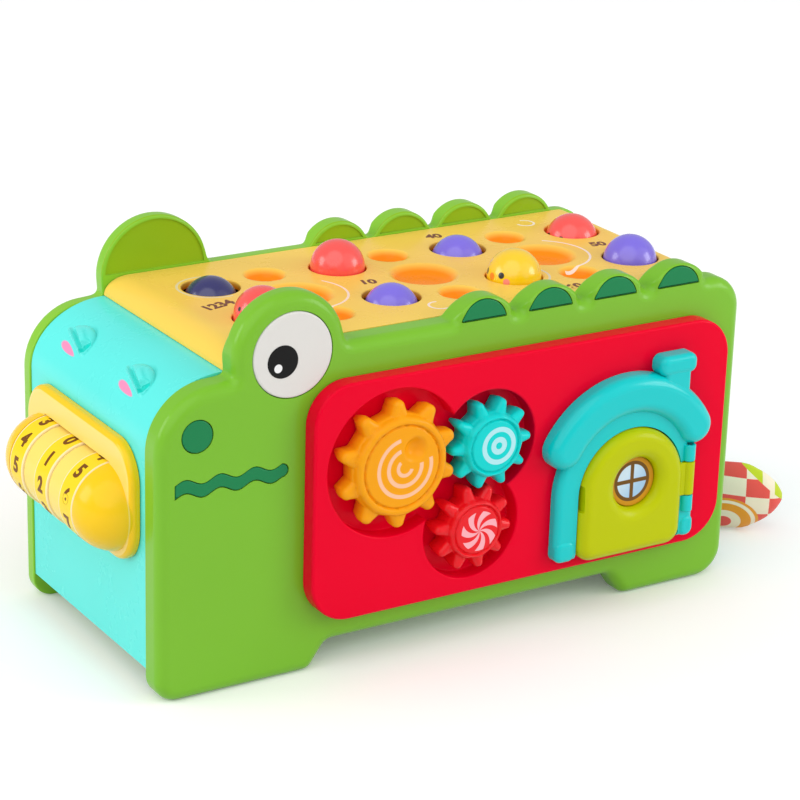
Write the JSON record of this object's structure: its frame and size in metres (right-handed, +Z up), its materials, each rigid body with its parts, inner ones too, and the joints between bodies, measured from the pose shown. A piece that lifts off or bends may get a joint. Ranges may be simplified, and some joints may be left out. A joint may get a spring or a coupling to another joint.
{
  "type": "baby activity cube",
  "caption": "Crocodile-shaped activity box for babies with pop-up moles on rockers, meshing gears, a hinged door, turning number rings and a padded tail",
  "frame": {"origin": "centre of the whole toy's bounding box on the ground plane", "axes": "+X from the nose to the tail, +Y towards the far side, away from the gears and the house, +Z up"},
  "size_m": [0.3816, 0.1634, 0.176],
  "materials": {
    "green_shell": "moulded gloss",
    "inlay_green": "moulded gloss",
    "nose_cyan": "moulded gloss",
    "deck_orange": "moulded gloss",
    "plate_red": "moulded gloss",
    "gear_orange": "moulded gloss",
    "gear_cyan": "moulded gloss",
    "gear_red": "moulded gloss",
    "house_cyan": "moulded gloss",
    "door_lime": "moulded gloss",
    "window_ochre": "moulded gloss",
    "mole_navy": "moulded gloss",
    "mole_coral": "moulded gloss",
    "mole_purple": "moulded gloss",
    "mole_yellow": "moulded gloss",
    "roller_yellow": "moulded gloss",
    "band_yellow": "moulded gloss",
    "eye_white": "moulded gloss",
    "pupil_black": "moulded gloss",
    "inner_white": "plain moulded",
    "steel": "drawn",
    "tail_cloth": "woven cotton print over padding"
  },
  "bodies": {
    "body": {"activity_panel": "plate_red", "base_plate": "green_shell", "deck_plate": "deck_orange", "door_hinge_pin": "steel", "far_cover_plate": "deck_orange", "far_eye": "eye_white", "far_mouth": "inlay_green", "far_nostril": "inlay_green", "far_pupil": "pupil_black", "far_scute_1": "inlay_green", "far_scute_2": "inlay_green", "far_scute_3": "inlay_green", "far_scute_4": "inlay_green", "far_side_panel": "green_shell", "house_frame": "house_cyan", "mole_guide_plate": "inner_white", "near_eye": "eye_white", "near_mouth": "inlay_green", "near_nostril": "inlay_green", "near_pupil": "pupil_black", "near_scute_1": "inlay_green", "near_scute_2": "inlay_green", "near_scute_3": "inlay_green", "near_scute_4": "inlay_green", "near_side_panel": "green_shell", "nose_shell": "nose_cyan", "rear_panel": "nose_cyan", "ring_spacer_1": "band_yellow", "ring_spacer_2": "band_yellow", "rocker_shaft": "steel", "roller_axle": "steel", "roller_bezel": "roller_yellow", "tail": "tail_cloth", "tail_anchor": "inner_white"},
    "gear_orange": {"gear_orange": "gear_orange", "gear_orange_screw": "steel"},
    "gear_cyan": {"gear_cyan": "gear_cyan", "gear_cyan_screw": "steel"},
    "gear_red": {"gear_red": "gear_red", "gear_red_screw": "steel"},
    "door": {"house_door": "door_lime", "door_window": "window_ochre"},
    "ring_1": {"number_ring_1": "roller_yellow"},
    "ring_2": {"number_ring_2": "roller_yellow"},
    "ring_3": {"number_ring_3": "roller_yellow"},
    "rocker_1": {"rocker_1": "inner_white"},
    "mole_near_1": {"mole_near_1": "mole_coral"},
    "mole_far_1": {"mole_far_1": "mole_navy"},
    "rocker_2": {"rocker_2": "inner_white"},
    "mole_near_2": {"mole_near_2": "mole_purple"},
    "mole_far_2": {"mole_far_2": "mole_coral"},
    "rocker_3": {"rocker_3": "inner_white"},
    "mole_near_3": {"mole_near_3": "mole_yellow"},
    "mole_far_3": {"mole_far_3": "mole_purple"},
    "rocker_4": {"rocker_4": "inner_white"},
    "mole_near_4": {"mole_near_4": "mole_purple"},
    "mole_far_4": {"mole_far_4": "mole_coral"}
  },
  "joints": [
    {"name": "gear_orange_turn", "type": "hinge", "parent": "body", "child": "gear_orange", "pos_m": [-0.059, -0.06325, 0.0946], "axis": [0, -1, 0], "continuous": true},
    {"name": "gear_cyan_turn", "type": "hinge", "parent": "body", "child": "gear_cyan", "pos_m": [-0.01131, -0.06325, 0.0957], "axis": [0, -1, 0], "continuous": true},
    {"name": "gear_red_turn", "type": "hinge", "parent": "body", "child": "gear_red", "pos_m": [-0.01911, -0.06325, 0.05739], "axis": [0, -1, 0], "continuous": true},
    {"name": "door_hinge", "type": "hinge", "parent": "body", "child": "door", "pos_m": [0.0963, -0.07765, 0.0533], "axis": [0, 0, 1], "range_deg": [0, 105]},
    {"name": "ring_1_turn", "type": "hinge", "parent": "body", "child": "ring_1", "pos_m": [-0.171, -0.01845, 0.08], "axis": [0, 1, 0], "continuous": true},
    {"name": "ring_2_turn", "type": "hinge", "parent": "body", "child": "ring_2", "pos_m": [-0.171, 0.00675, 0.08], "axis": [0, 1, 0], "continuous": true},
    {"name": "ring_3_turn", "type": "hinge", "parent": "body", "child": "ring_3", "pos_m": [-0.171, 0.03195, 0.08], "axis": [0, 1, 0], "continuous": true},
    {"name": "mole_far_1_slide", "type": "slide", "parent": "body", "child": "mole_far_1", "axis": [0, 0, 1], "range_m": [0, 0.0092]},
    {"name": "mole_near_1_slide", "type": "slide", "parent": "body", "child": "mole_near_1", "axis": [0, 0, 1], "range_m": [-0.0092, 0]},
    {"name": "rocker_1_tilt", "type": "hinge", "parent": "body", "child": "rocker_1", "pos_m": [-0.0953, 0.00675, 0.088], "axis": [1, 0, 0], "range_deg": [0, 22.15]},
    {"name": "mole_far_2_slide", "type": "slide", "parent": "body", "child": "mole_far_2", "axis": [0, 0, 1], "range_m": [-0.00828, 0.00092]},
    {"name": "mole_near_2_slide", "type": "slide", "parent": "body", "child": "mole_near_2", "axis": [0, 0, 1], "range_m": [-0.00092, 0.00828]},
    {"name": "rocker_2_tilt", "type": "hinge", "parent": "body", "child": "rocker_2", "pos_m": [-0.0297, 0.00675, 0.088], "axis": [1, 0, 0], "range_deg": [-19.94, 2.22]},
    {"name": "mole_far_3_slide", "type": "slide", "parent": "body", "child": "mole_far_3", "axis": [0, 0, 1], "range_m": [-0.00129, 0.00791]},
    {"name": "mole_near_3_slide", "type": "slide", "parent": "body", "child": "mole_near_3", "axis": [0, 0, 1], "range_m": [-0.00791, 0.00129]},
    {"name": "rocker_3_tilt", "type": "hinge", "parent": "body", "child": "rocker_3", "pos_m": [0.0359, 0.00675, 0.088], "axis": [1, 0, 0], "range_deg": [-3.11, 19.05]},
    {"name": "mole_far_4_slide", "type": "slide", "parent": "body", "child": "mole_far_4", "axis": [0, 0, 1], "range_m": [-0.00331, 0.00589]},
    {"name": "mole_near_4_slide", "type": "slide", "parent": "body", "child": "mole_near_4", "axis": [0, 0, 1], "range_m": [-0.00589, 0.00331]},
    {"name": "rocker_4_tilt", "type": "hinge", "parent": "body", "child": "rocker_4", "pos_m": [0.1015, 0.00675, 0.088], "axis": [1, 0, 0], "range_deg": [-7.98, 14.18]}
  ],
  "couplings": [
    {"joint": "gear_cyan_turn", "follows": "gear_orange_turn", "ratio": -1},
    {"joint": "gear_red_turn", "follows": "gear_orange_turn", "ratio": 1},
    {"joint": "mole_near_1_slide", "follows": "mole_far_1_slide", "ratio": -1},
    {"joint": "rocker_1_tilt", "follows": "mole_far_1_slide", "rad_per_m": 42.017},
    {"joint": "mole_near_2_slide", "follows": "mole_far_2_slide", "ratio": -1},
    {"joint": "rocker_2_tilt", "follows": "mole_far_2_slide", "rad_per_m": 42.017},
    {"joint": "mole_near_3_slide", "follows": "mole_far_3_slide", "ratio": -1},
    {"joint": "rocker_3_tilt", "follows": "mole_far_3_slide", "rad_per_m": 42.017},
    {"joint": "mole_near_4_slide", "follows": "mole_far_4_slide", "ratio": -1},
    {"joint": "rocker_4_tilt", "follows": "mole_far_4_slide", "rad_per_m": 42.017}
  ]
}
